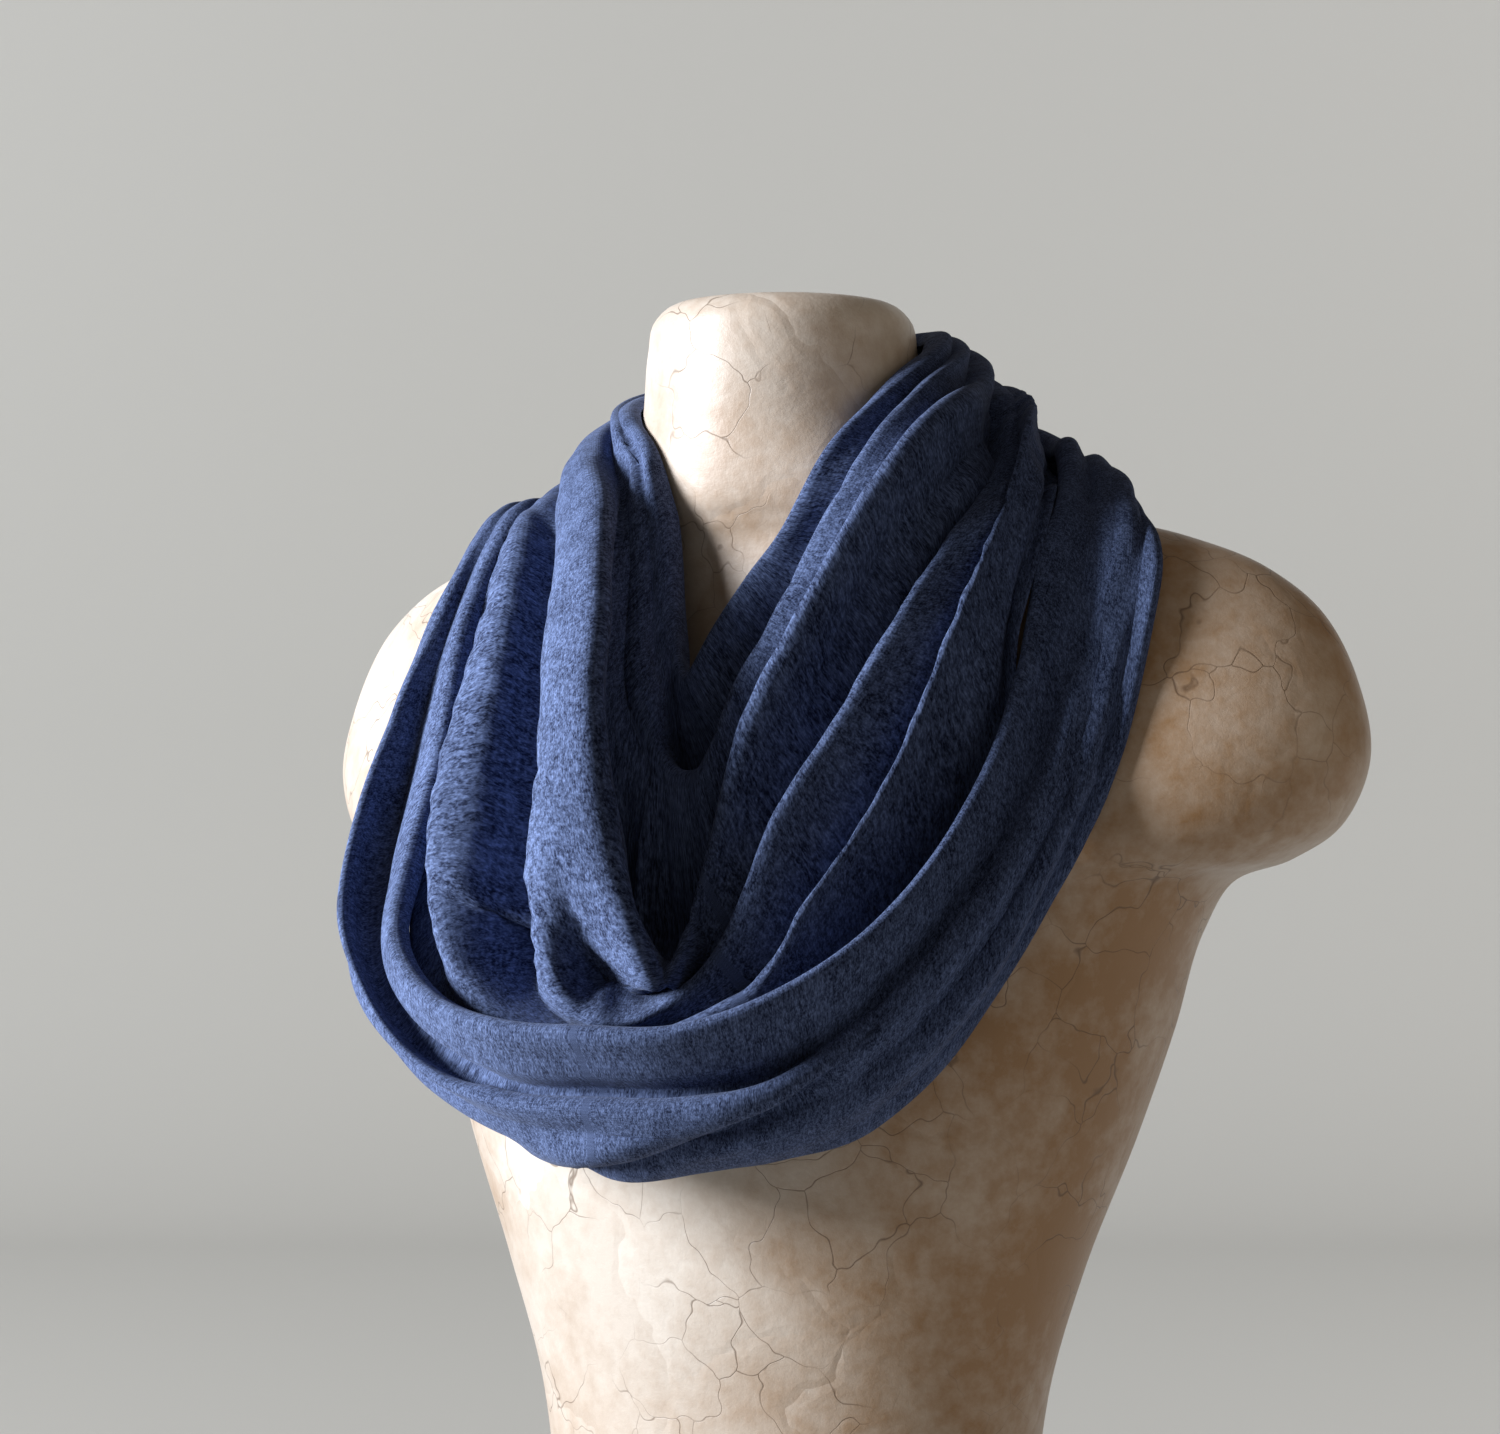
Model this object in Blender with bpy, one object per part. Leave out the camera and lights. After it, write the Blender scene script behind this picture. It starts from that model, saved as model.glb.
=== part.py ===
"""An infinity scarf of jersey, wound twice round the neck of a limbless dress form.

Metres, +Z up. The form faces -Y and its own left is +X. The base stands on Z = 0.
Three closed solids: the dress form, the upper wind of the scarf and the lower wind.
"""
import math
from collections import namedtuple

import bmesh
import bpy
import numpy as np

MM = 0.001
WALL = 1.6 * MM           # the double layer of jersey, pressed together
FORM_SIDES = 32           # sides of each ring of the dress form
SECTIONS = 52             # sections round each wind
STEPS = 2                 # steps between a crest and the valley beside it
SMOOTH = 0.5              # exponent of the spacing of the curves, 0.5 is centripetal
BEND_LIMIT = 42           # degrees a fold turns at one point before it is eased
EASE_ROUNDS = 12          # rounds of easing

# The dress form, one row for each ring. Millimetres: the centre is towards the back.
Ring = namedtuple("Ring", "height half_width half_depth centre power")
FORM = (
    Ring(0, 140, 98, 10, 2.0),          # underside of the base
    Ring(5, 148, 105, 10, 2.0),
    Ring(30, 154, 110, 10, 2.0),        # hips
    Ring(70, 146, 104, 10, 2.0),
    Ring(120, 118, 87, 8, 2.0),
    Ring(170, 100, 74, 6, 2.0),
    Ring(200, 97, 72, 6, 2.0),          # waist
    Ring(240, 101, 75, 6, 2.0),
    Ring(290, 116, 84, 6, 2.0),
    Ring(340, 136, 94, 9, 2.0),
    Ring(380, 150, 99, 12, 2.0),
    Ring(415, 160, 100, 16, 2.0),       # chest
    Ring(432, 170, 98, 19, 2.0),
    Ring(441, 194, 94, 22, 2.0),        # underside of the shoulder caps
    Ring(452, 212, 90, 24, 2.0),
    Ring(475, 223, 86, 27, 2.0),        # shoulder caps
    Ring(505, 219, 80, 28, 1.9),
    Ring(530, 206, 74, 27, 1.8),
    Ring(545, 188, 69, 24, 1.7),
    Ring(557, 160, 64, 19, 1.6),
    Ring(566, 124, 60, 12, 1.6),        # top of the shoulders
    Ring(574, 94, 57, 6, 1.7),
    Ring(585, 71, 54, 2, 1.9),
    Ring(600, 56, 52, 0, 2.0),          # neck
    Ring(632, 51, 51, 0, 2.0),
    Ring(643, 49, 49, 0, 2.0),
    Ring(649, 43, 43, 0, 2.0),
    Ring(650, 34, 34, 0, 2.0),          # top of the neck
)

# Each crest of a fold is placed by its azimuth from the front in degrees, its reach from
# the axis of the neck and its height, both in millimetres. One row for each section.
Upper = namedtuple("Upper", "side neckline second main panel outer")
UPPER_WIND = (
    Upper("front", (7, 78, 508), (16, 98, 477), (19, 120, 437), (23, 138, 411), (27, 151, 396)),
    Upper("right", (13, 76, 523), (21, 92, 501), (24, 112, 484), (30, 132, 453), (35, 147, 426)),
    Upper("right", (22, 73, 541), (30, 87, 527), (34, 106, 524), (40, 123, 487), (47, 137, 468)),
    Upper("right", (32, 70, 558), (42, 83, 561), (46, 100, 562), (52, 116, 525), (60, 127, 524)),
    Upper("right", (46, 68, 588), (56, 80, 592), (60, 94, 592), (65, 109, 555), (74, 117, 566)),
    Upper("right", (65, 67, 609), (72, 77, 611), (76, 88, 608), (81, 99, 577), (90, 105, 599)),
    Upper("right", (90, 66, 626), (93, 73, 624), (97, 81, 616), (101, 89, 596), (107, 96, 612)),
    Upper("back", (120, 63, 638), (121, 70, 634), (122, 78, 627), (124, 85, 612), (126, 91, 619)),
    Upper("back", (150, 62, 643), (150, 70, 643), (150, 78, 638), (150, 86, 628), (150, 94, 622)),
    Upper("back", (180, 62, 641), (180, 70, 642), (180, 79, 637), (180, 88, 627), (180, 97, 617)),
    Upper("back", (212, 63, 635), (212, 71, 636), (212, 79, 632), (212, 88, 624), (212, 96, 612)),
    Upper("left", (245, 64, 626), (245, 70, 627), (245, 77, 624), (245, 86, 615), (245, 95, 601)),
    Upper("left", (283, 61, 616), (280, 67, 616), (276, 74, 610), (276, 84, 601), (276, 98, 586)),
    Upper("left", (318, 60, 604), (315, 64, 600), (313, 72, 591), (304, 84, 581), (288, 105, 566)),
    Upper("left", (342, 61, 586), (340, 70, 576), (340, 84, 566), (328, 92, 553), (300, 110, 540)),
    Upper("left", (352, 64, 556), (352, 84, 534), (355, 108, 532), (341, 110, 518), (311, 121, 503)),
    Upper("left", (356, 69, 532), (358, 97, 505), (362, 132, 492), (351, 130, 480), (321, 134, 465)),
    Upper("left", (359, 72, 519), (364, 100, 482), (370, 150, 436), (356, 148, 440), (331, 144, 430)),
    Upper("front", (361, 75, 511), (368, 100, 473), (375, 154, 402), (361, 152, 399), (342, 147, 397)),
    Upper("front", (364, 77, 506), (372, 98, 470), (377, 145, 405), (372, 150, 386), (364, 151, 376)),
)
Lower = namedtuple("Lower", "side band swag drape hem")
LOWER_WIND = (
    Lower("front", (8, 170, 382), (8, 161, 357), (8, 151, 341), (8, 132, 331)),
    Lower("front", (20, 171, 383), (20, 162, 358), (20, 151, 343), (20, 130, 335)),
    Lower("front", (32, 168, 396), (32, 161, 364), (32, 152, 348), (32, 130, 339)),
    Lower("right", (45, 159, 422), (45, 160, 388), (45, 151, 364), (46, 131, 350)),
    Lower("right", (60, 147, 469), (61, 158, 438), (61, 156, 410), (61, 141, 388)),
    Lower("right", (74, 133, 525), (76, 149, 503), (76, 159, 488), (76, 162, 470)),
    Lower("right", (84, 127, 561), (85, 140, 552), (85, 154, 549), (84, 166, 541)),
    Lower("right", (93, 120, 579), (95, 130, 575), (95, 139, 573), (94, 146, 566)),
    Lower("right", (106, 112, 595), (107, 120, 588), (107, 127, 582), (107, 133, 572)),
    Lower("back", (121, 108, 598), (121, 119, 591), (121, 128, 582), (121, 133, 567)),
    Lower("back", (150, 106, 608), (150, 120, 592), (151, 130, 564), (152, 131, 532)),
    Lower("back", (180, 106, 607), (180, 121, 588), (181, 130, 550), (182, 127, 506)),
    Lower("back", (212, 106, 602), (211, 119, 585), (210, 128, 560), (208, 130, 532)),
    Lower("left", (242, 107, 592), (241, 118, 587), (240, 128, 579), (240, 136, 566)),
    Lower("left", (262, 110, 583), (262, 122, 582), (262, 133, 582), (263, 142, 575)),
    Lower("left", (278, 117, 576), (278, 125, 573), (277, 132, 568), (276, 137, 560)),
    Lower("left", (291, 126, 533), (290, 140, 526), (287, 147, 519), (284, 154, 507)),
    Lower("left", (303, 131, 484), (301, 157, 470), (298, 164, 450), (294, 162, 428)),
    Lower("left", (314, 142, 446), (311, 166, 427), (309, 162, 402), (307, 148, 382)),
    Lower("left", (326, 156, 414), (325, 164, 393), (326, 152, 372), (326, 134, 356)),
    Lower("left", (342, 163, 391), (340, 161, 368), (341, 150, 356), (342, 131, 346)),
    Lower("front", (356, 168, 383), (354, 161, 358), (355, 150, 346), (355, 131, 337)),
)

# The valley between two crests, one row for each gap: its place from the first crest to
# the next as a share, and its depth as a share of the distance, on each side of the neck.
Valley = namedtuple("Valley", "back right front left")
UPPER_VALLEYS = (
    Valley((0.50, 0.40), (0.60, 0.42), (0.50, 0.12), (0.50, 0.10)),
    Valley((0.50, 0.40), (0.72, 0.40), (0.50, 0.08), (0.50, 0.04)),
    Valley((0.50, 0.40), (0.62, 0.36), (0.50, 0.16), (0.27, 0.30)),
    Valley((0.50, 0.24), (0.64, 0.30), (0.50, 0.20), (0.45, 0.50)),
    Valley((0.50, 0.00), (0.50, 0.10), (0.50, 0.04), (0.50, 0.15)),
)
LOWER_VALLEYS = (
    Valley((0.50, 0.26), (0.55, 0.22), (0.60, 0.22), (0.50, 0.24)),
    Valley((0.55, 0.30), (0.50, 0.20), (0.50, 0.06), (0.55, 0.14)),
    Valley((0.45, 0.20), (0.40, 0.08), (0.50, -0.06), (0.50, 0.05)),
)

# How the cloth turns under at its first and last crests, in millimetres: out past the
# crest and in towards the form at the bend, then back and in at the hidden edge.
Turn = namedtuple("Turn", "bend_out bend_in edge_back edge_in")
NECKLINE_TURN = Turn(1.5, 3, 1, 8)
BAND_TURN = Turn(3, 2, -4, 5)
HEM_TURN = Turn(1, 6, 0, 16)
WAY_ROUNDS = 4            # rounds that even out the way in from one section to the next
TUCK_NEAR = 10.5          # the upper wind's hidden edge stops this short of the band
                          # where the form is near, in millimetres
TUCK_FAR = 0.45           # and where it is far, this share of the way to the swag
TUCK_DEEP = 15            # most depth of that edge behind the band, in millimetres
TUCK_ROOM = 7             # room above the form that it needs first, in millimetres
VALLEY_ROOM = 0.6         # most of the room above the form that a valley takes up
CLOTH_LEAN = 0.5          # how far valleys sink square to the cloth, not to the form
CLOTH_CLEAR = 2.4 * MM    # from the form to the middle of the cloth on it


def curve(places, values, wanted, period=None):
    """Smooth curve through values at places, read where wanted. It closes on a period."""
    places = np.asarray(places, float)
    values = np.asarray(values, float)
    if period:
        places = np.concatenate((places[-2:] - period, places, places[:3] + period))
        values = np.concatenate((values[-2:], values, values[:3]))
    spans = np.diff(places)
    shape = (-1,) + (1,) * (values.ndim - 1)
    slopes = np.diff(values, axis=0) / spans.reshape(shape)
    before = np.concatenate((slopes[:1], slopes))
    after = np.concatenate((slopes, slopes[-1:]))
    left = np.concatenate((spans[:1], spans)).reshape(shape)
    right = np.concatenate((spans, spans[-1:])).reshape(shape)
    tangents = (before * right + after * left) / (left + right)
    wanted = np.asarray(wanted, float)
    first = np.clip(np.searchsorted(places, wanted, side="right") - 1, 0, len(spans) - 1)
    length = spans[first].reshape(shape)
    share = ((wanted - places[first]) / spans[first]).reshape(shape)
    rise = share * share * (3 - 2 * share)
    lead = share * (1 - share) ** 2 * length
    trail = share * share * (share - 1) * length
    ends = values[first] * (1 - rise) + values[first + 1] * rise
    return ends + lead * tangents[first] + trail * tangents[first + 1]


def form_size(heights):
    """Half width, half depth, centre and power of the dress form at these heights."""
    table = np.array(FORM, float)
    table[:, :4] *= MM
    return curve(table[:, 0], table[:, 1:], np.clip(heights, 0, table[-1, 0]))


def form_depth(points):
    """How far outside the dress form each point lies, roughly, and the way out."""
    def level(at):
        width, depth, centre, power = form_size(at[:, 2]).T
        across = np.abs(at[:, 0]) / width
        along = np.abs(at[:, 1] - centre) / depth
        return (across ** power + along ** power) ** (1 / power) - 1

    step = 0.5 * MM
    here = level(points)
    gradient = np.zeros_like(points)
    for axis in range(3):
        shift = np.zeros(3)
        shift[axis] = step
        gradient[:, axis] = (level(points + shift) - level(points - shift)) / (2 * step)
    steepness = np.maximum(np.linalg.norm(gradient, axis=1), 1e-6)
    return here / steepness, gradient / steepness[:, None]


def clear_of_form(points, margin):
    """The points, with those nearer to the form than the margin pushed out to it."""
    flat = points.reshape(-1, 3).copy()
    for _ in range(6):
        distance, way_out = form_depth(flat)
        short = np.clip(margin - distance, 0, 4 * MM)
        flat += way_out * short[:, None]
    return flat.reshape(points.shape)


def place(azimuth, reach, height):
    """Point in metres from an azimuth in degrees and two distances in millimetres."""
    turn = np.radians(azimuth)
    return np.stack((reach * np.sin(turn), -reach * np.cos(turn), height), axis=-1) * MM


def closed_table(rows, folds):
    """Azimuth, reach and height of each fold at evenly placed sections round the wind."""
    table = np.array([[getattr(row, fold) for fold in folds] for row in rows], float)
    middle = table[:, :, 0].mean(axis=1)
    swing = table.copy()
    swing[:, :, 0] -= middle[:, None]
    travel = np.concatenate(([0], np.cumsum(np.diff(middle) + 8)))
    period = travel[-1] + middle[0] + 360 - middle[-1] + 8
    wanted = np.arange(SECTIONS) * period / SECTIONS
    values = np.concatenate((swing.reshape(len(rows), -1), middle[:, None]), axis=1)
    lap = values[:3].copy()
    lap[:, -1] += 360
    before = values[-2:].copy()
    before[:, -1] -= 360
    places = np.concatenate((travel[-2:] - period, travel, travel[:3] + period))
    values = np.concatenate((before, values, lap))
    found = curve(places, values, wanted)
    folds_found = found[:, :-1].reshape(SECTIONS, len(folds), 3)
    folds_found[:, :, 0] += found[:, -1:]
    return folds_found, travel, period, wanted


def valley_shares(rows, valleys, travel, period, wanted):
    """Place and depth of each valley at each section."""
    table = np.array([[getattr(valley, row.side) for valley in valleys] for row in rows])
    return curve(travel, table, wanted, period)


def square_to(line, steps):
    """The part of some steps that lies square to the line they start from."""
    along = np.roll(line, -1, axis=0) - np.roll(line, 1, axis=0)
    along /= np.linalg.norm(along, axis=1, keepdims=True)
    return steps - along * (along * steps).sum(axis=1, keepdims=True)


def turned(crest, neighbour, turn):
    """The bend and the hidden edge beyond a crest, drawn up where the form is near."""
    distance, way_out = form_depth(crest)
    room = (distance - CLOTH_CLEAR) / (turn.edge_in * MM)
    share = np.clip(room, 0, 1)[:, None]
    back = square_to(crest, neighbour - crest)
    back /= np.linalg.norm(back, axis=1, keepdims=True)
    for _ in range(WAY_ROUNDS):
        way_out = way_out + np.roll(way_out, -1, axis=0) + np.roll(way_out, 1, axis=0)
    way_out /= np.linalg.norm(way_out, axis=1, keepdims=True)
    beyond = -2 * turn.bend_out * (1 - share) + turn.edge_back * share
    bend = crest - (turn.bend_out * back + share * turn.bend_in * way_out) * MM
    edge = crest + (beyond * back - share * turn.edge_in * way_out) * MM
    return bend, edge


def lower_crest(azimuths, fold):
    """Points of one crest of the lower wind at these azimuths."""
    table = np.array([getattr(row, fold) for row in LOWER_WIND], float)
    found = (azimuths - table[0, 0]) % 360 + table[0, 0]
    reach, height = curve(table[:, 0], table[:, 1:], found, 360).T
    return place(azimuths, reach, height)


def behind_band(azimuths):
    """Hidden edge of the upper wind, behind the band of the lower wind."""
    band = lower_crest(azimuths, "band")
    swag = lower_crest(azimuths, "swag")
    distance, way_out = form_depth(band)
    room = (distance - CLOTH_CLEAR - TUCK_ROOM * MM) / (TUCK_DEEP * MM)
    share = np.clip(room, 0, 1)[:, None]
    onward = square_to(band, swag - band)
    spread = np.linalg.norm(onward, axis=1, keepdims=True)
    along = TUCK_FAR * share ** 2 - TUCK_NEAR * MM / spread * (1 - share ** 2)
    return band + onward * along - way_out * share * TUCK_DEEP * MM


def wind_surface(rows, folds, valleys, first_turn, last_turn):
    """Middle surface of one wind: sections round the neck by points across the cloth."""
    crests, travel, period, wanted = closed_table(rows, folds)
    shares = valley_shares(rows, valleys, travel, period, wanted)
    points = place(crests[..., 0], crests[..., 1], crests[..., 2])
    if last_turn is None:
        hidden = behind_band(crests[:, -1, 0])
        points = np.concatenate((points, hidden[:, None]), axis=1)
    first_bend, first_edge = turned(points[:, 0], points[:, 1], first_turn)
    controls = [first_edge, first_bend, points[:, 0]]
    for gap in range(len(valleys)):
        start = points[:, gap]
        across = points[:, gap + 1] - start
        distance = np.linalg.norm(across, axis=1, keepdims=True)
        along = np.roll(start, -1, axis=0) - np.roll(start, 1, axis=0)
        outward = np.cross(across, along)
        outward *= CLOTH_LEAN / np.linalg.norm(outward, axis=1, keepdims=True)
        share = shares[:, gap]
        line = start + across * share[:, :1]
        clearance, way_out = form_depth(line)
        outward += way_out
        outward /= np.linalg.norm(outward, axis=1, keepdims=True)
        room = np.clip(clearance - CLOTH_CLEAR, 0, None) * VALLEY_ROOM
        low = line - outward * np.minimum(distance[:, 0] * share[:, 1], room)[:, None]
        controls += [low, points[:, gap + 1]]
    if last_turn is not None:
        controls += turned(points[:, -1], points[:, -2], last_turn)
    surface = np.stack([across_curve(section) for section in np.stack(controls, axis=1)])
    return clear_of_form(eased(surface), CLOTH_CLEAR)


def across_curve(section):
    """Smooth curve across the cloth through its crests and valleys."""
    chords = np.linalg.norm(np.diff(section, axis=0), axis=1) ** SMOOTH
    places = np.concatenate(([0], np.cumsum(chords)))
    wanted = []
    for start, end in zip(places, places[1:]):
        wanted += list(np.linspace(start, end, STEPS, endpoint=False))
    wanted.append(places[-1])
    return curve(places, section, wanted)


def eased(surface):
    """The surface with its tightest bends across the cloth opened out."""
    limit = math.radians(BEND_LIMIT)
    for _ in range(EASE_ROUNDS):
        before = surface[:, 1:-1] - surface[:, :-2]
        after = surface[:, 2:] - surface[:, 1:-1]
        lengths = np.linalg.norm(before, axis=2) * np.linalg.norm(after, axis=2)
        turn = np.arccos(np.clip((before * after).sum(axis=2) / lengths, -1, 1))
        share = np.clip((turn - limit) / limit, 0, 1)[..., None] * 0.3
        surface[:, 1:-1] += share * (after - before)
    return surface


def surface_normals(surface):
    """Outward normals of a surface that closes round the neck."""
    along = np.roll(surface, -1, axis=0) - np.roll(surface, 1, axis=0)
    across = np.empty_like(surface)
    across[:, 1:-1] = surface[:, 2:] - surface[:, :-2]
    across[:, 0] = surface[:, 1] - surface[:, 0]
    across[:, -1] = surface[:, -1] - surface[:, -2]
    normals = np.cross(across, along)
    return normals / np.linalg.norm(normals, axis=2, keepdims=True)


def wall_mesh(surface):
    """Vertices and faces of the closed wall on both sides of a middle surface."""
    normals = surface_normals(surface)
    outer = surface + normals * WALL / 2
    inner = surface - normals * WALL / 2
    loops = np.concatenate((outer, inner[:, ::-1]), axis=1)
    return loops


def add_body(collection, name, loops, material, closed_round, caps):
    """One closed body from loops of points, joined in order."""
    mesh = bpy.data.meshes.new(name)
    body = bmesh.new()
    rows = [[body.verts.new(point) for point in loop] for loop in loops]
    pairs = list(zip(rows, rows[1:]))
    if closed_round:
        pairs.append((rows[-1], rows[0]))
    for row, following in pairs:
        for index, vertex in enumerate(row):
            after = (index + 1) % len(row)
            body.faces.new((vertex, row[after], following[after], following[index]))
    if caps:
        body.faces.new(list(reversed(rows[0])))
        body.faces.new(rows[-1])
    bmesh.ops.recalc_face_normals(body, faces=body.faces)
    if body.calc_volume(signed=True) < 0:
        bmesh.ops.reverse_faces(body, faces=body.faces)
    body.to_mesh(mesh)
    body.free()
    for face in mesh.polygons:
        face.use_smooth = True
    mesh.materials.append(material)
    collection.objects.link(bpy.data.objects.new(name, mesh))


def form_loops():
    """Rings of the dress form, closer where its outline turns."""
    heights = np.array([ring.height for ring in FORM], float) * MM
    sizes = form_size(heights)
    turns = np.arange(FORM_SIDES) * 2 * math.pi / FORM_SIDES
    loops = []
    for height, (width, depth, centre, power) in zip(heights, sizes):
        bulge = (np.abs(np.sin(turns)) ** power + np.abs(np.cos(turns)) ** power) ** (1 / power)
        x = width * np.sin(turns) / bulge
        y = centre - depth * np.cos(turns) / bulge
        loops.append(np.stack((x, y, np.full_like(x, height)), axis=1))
    return loops


def add_material(name, colour, roughness, sheen):
    """Plain material for one sub-part."""
    material = bpy.data.materials.new(name)
    material.use_nodes = True
    shader = material.node_tree.nodes["Principled BSDF"]
    shader.inputs["Base Color"].default_value = (*colour, 1)
    shader.inputs["Roughness"].default_value = roughness
    shader.inputs["Sheen Weight"].default_value = sheen
    return material


def build():
    """Empties the scene and builds the dress form and the two winds of the scarf."""
    for item in list(bpy.data.objects):
        bpy.data.objects.remove(item, do_unlink=True)
    collection = bpy.data.collections.new("infinity_scarf_on_form")
    bpy.context.scene.collection.children.link(collection)
    paper = add_material("varnished_paper", (0.62, 0.5, 0.36), 0.45, 0)
    upper = add_material("jersey_upper", (0.045, 0.075, 0.15), 0.9, 0.3)
    lower = add_material("jersey_lower", (0.04, 0.068, 0.14), 0.9, 0.3)
    add_body(collection, "dress_form", form_loops(), paper, False, True)
    upper_folds = ("neckline", "second", "main", "panel", "outer")
    lower_folds = ("band", "swag", "drape", "hem")
    surface = wind_surface(UPPER_WIND, upper_folds, UPPER_VALLEYS, NECKLINE_TURN, None)
    add_body(collection, "upper_wind", wall_mesh(surface), upper, True, False)
    surface = wind_surface(LOWER_WIND, lower_folds, LOWER_VALLEYS, BAND_TURN, HEM_TURN)
    add_body(collection, "lower_wind", wall_mesh(surface), lower, True, False)


build()
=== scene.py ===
"""Visual model of a jersey infinity scarf, wound twice round the neck of a dress form.

Metres, +Z up. The form faces -Y and its own left is +X.
"""
import math
from collections import namedtuple

import bpy
import numpy as np
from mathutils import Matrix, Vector


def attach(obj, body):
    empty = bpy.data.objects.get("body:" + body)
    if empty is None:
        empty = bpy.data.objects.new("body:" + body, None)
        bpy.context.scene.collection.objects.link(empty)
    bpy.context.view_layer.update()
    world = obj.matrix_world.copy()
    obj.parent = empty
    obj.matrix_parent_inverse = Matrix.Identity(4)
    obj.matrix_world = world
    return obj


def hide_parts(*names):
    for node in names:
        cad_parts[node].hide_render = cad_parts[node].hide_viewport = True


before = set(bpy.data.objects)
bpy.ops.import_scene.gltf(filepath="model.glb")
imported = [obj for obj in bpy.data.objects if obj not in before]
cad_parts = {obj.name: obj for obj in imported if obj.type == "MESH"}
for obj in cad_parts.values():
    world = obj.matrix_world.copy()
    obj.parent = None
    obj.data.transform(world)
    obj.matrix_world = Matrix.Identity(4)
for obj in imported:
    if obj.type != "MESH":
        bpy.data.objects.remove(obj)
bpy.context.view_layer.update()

MM = 0.001

# Resolution of the pieces.
SECTIONS = 360            # sections of cloth round the neck
STEPS = 9                 # steps between a crest and the valley beside it
FORM_SIDES = 176          # sides of the dress form
FORM_STEP = 2.6 * MM      # distance between its rings along the outline
WALL = 1.5 * MM           # the double layer of jersey, pressed together

# The dress form, one row for each ring. Millimetres: the centre is towards the back.
Ring = namedtuple("Ring", "height half_width half_depth centre power")
FORM = (
    Ring(0, 140, 98, 10, 2.0),          # underside of the base
    Ring(5, 148, 105, 10, 2.0),
    Ring(30, 154, 110, 10, 2.0),        # hips
    Ring(70, 146, 104, 10, 2.0),
    Ring(120, 118, 87, 8, 2.0),
    Ring(170, 100, 74, 6, 2.0),
    Ring(200, 97, 72, 6, 2.0),          # waist
    Ring(240, 101, 75, 6, 2.0),
    Ring(290, 116, 84, 6, 2.0),
    Ring(340, 136, 94, 9, 2.0),
    Ring(380, 150, 99, 12, 2.0),
    Ring(415, 160, 100, 16, 2.0),       # chest
    Ring(432, 170, 98, 19, 2.0),
    Ring(441, 194, 94, 22, 2.0),        # underside of the shoulder caps
    Ring(452, 212, 90, 24, 2.0),
    Ring(475, 223, 86, 27, 2.0),        # shoulder caps
    Ring(505, 219, 80, 28, 1.9),
    Ring(530, 206, 74, 27, 1.8),
    Ring(545, 188, 69, 24, 1.7),
    Ring(557, 160, 64, 19, 1.6),
    Ring(566, 124, 60, 12, 1.6),        # top of the shoulders
    Ring(574, 94, 57, 6, 1.7),
    Ring(585, 71, 54, 2, 1.9),
    Ring(600, 56, 52, 0, 2.0),          # neck
    Ring(632, 51, 51, 0, 2.0),
    Ring(643, 49, 49, 0, 2.0),
    Ring(649, 43, 43, 0, 2.0),
    Ring(650, 34, 34, 0, 2.0),          # top of the neck
)

# Each crest of a fold is placed by its azimuth from the front in degrees, its reach from
# the axis of the neck and its height, both in millimetres. One row for each section.
Upper = namedtuple("Upper", "side neckline second main panel outer")
UPPER_WIND = (
    Upper("front", (7, 78, 508), (16, 98, 477), (19, 120, 437), (23, 138, 411), (27, 151, 396)),
    Upper("right", (13, 76, 523), (21, 92, 501), (24, 112, 484), (30, 132, 453), (35, 147, 426)),
    Upper("right", (22, 73, 541), (30, 87, 527), (34, 106, 524), (40, 123, 487), (47, 137, 468)),
    Upper("right", (32, 70, 558), (42, 83, 561), (46, 100, 562), (52, 116, 525), (60, 127, 524)),
    Upper("right", (46, 68, 588), (56, 80, 592), (60, 94, 592), (65, 109, 555), (74, 117, 566)),
    Upper("right", (65, 67, 609), (72, 77, 611), (76, 88, 608), (81, 99, 577), (90, 105, 599)),
    Upper("right", (90, 66, 626), (93, 73, 624), (97, 81, 616), (101, 89, 600), (107, 96, 610)),
    Upper("back", (120, 63, 638), (121, 70, 634), (122, 78, 627), (124, 85, 617), (126, 91, 618)),
    Upper("back", (150, 62, 643), (150, 70, 643), (150, 78, 638), (150, 86, 628), (150, 94, 622)),
    Upper("back", (180, 62, 641), (180, 70, 642), (180, 79, 637), (180, 88, 627), (180, 97, 617)),
    Upper("back", (212, 63, 635), (212, 71, 636), (212, 79, 632), (212, 88, 624), (212, 96, 612)),
    Upper("left", (245, 64, 626), (245, 70, 627), (245, 77, 624), (245, 86, 615), (245, 95, 601)),
    Upper("left", (283, 61, 616), (280, 67, 616), (276, 74, 610), (276, 84, 601), (276, 98, 586)),
    Upper("left", (315, 60, 604), (315, 64, 600), (313, 72, 591), (304, 84, 581), (288, 105, 566)),
    Upper("left", (338, 61, 586), (340, 70, 576), (340, 84, 566), (328, 92, 553), (300, 110, 540)),
    Upper("left", (350, 64, 556), (352, 84, 534), (355, 108, 532), (341, 110, 518), (311, 121, 503)),
    Upper("left", (356, 69, 532), (358, 97, 505), (362, 132, 492), (351, 130, 480), (321, 134, 465)),
    Upper("left", (359, 72, 519), (364, 100, 482), (370, 150, 436), (356, 148, 440), (331, 144, 430)),
    Upper("front", (361, 75, 511), (368, 100, 473), (375, 154, 402), (361, 152, 399), (342, 147, 397)),
    Upper("front", (364, 77, 506), (372, 98, 470), (377, 145, 405), (372, 150, 386), (364, 151, 376)),
)
Lower = namedtuple("Lower", "side band swag drape hem")
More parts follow.
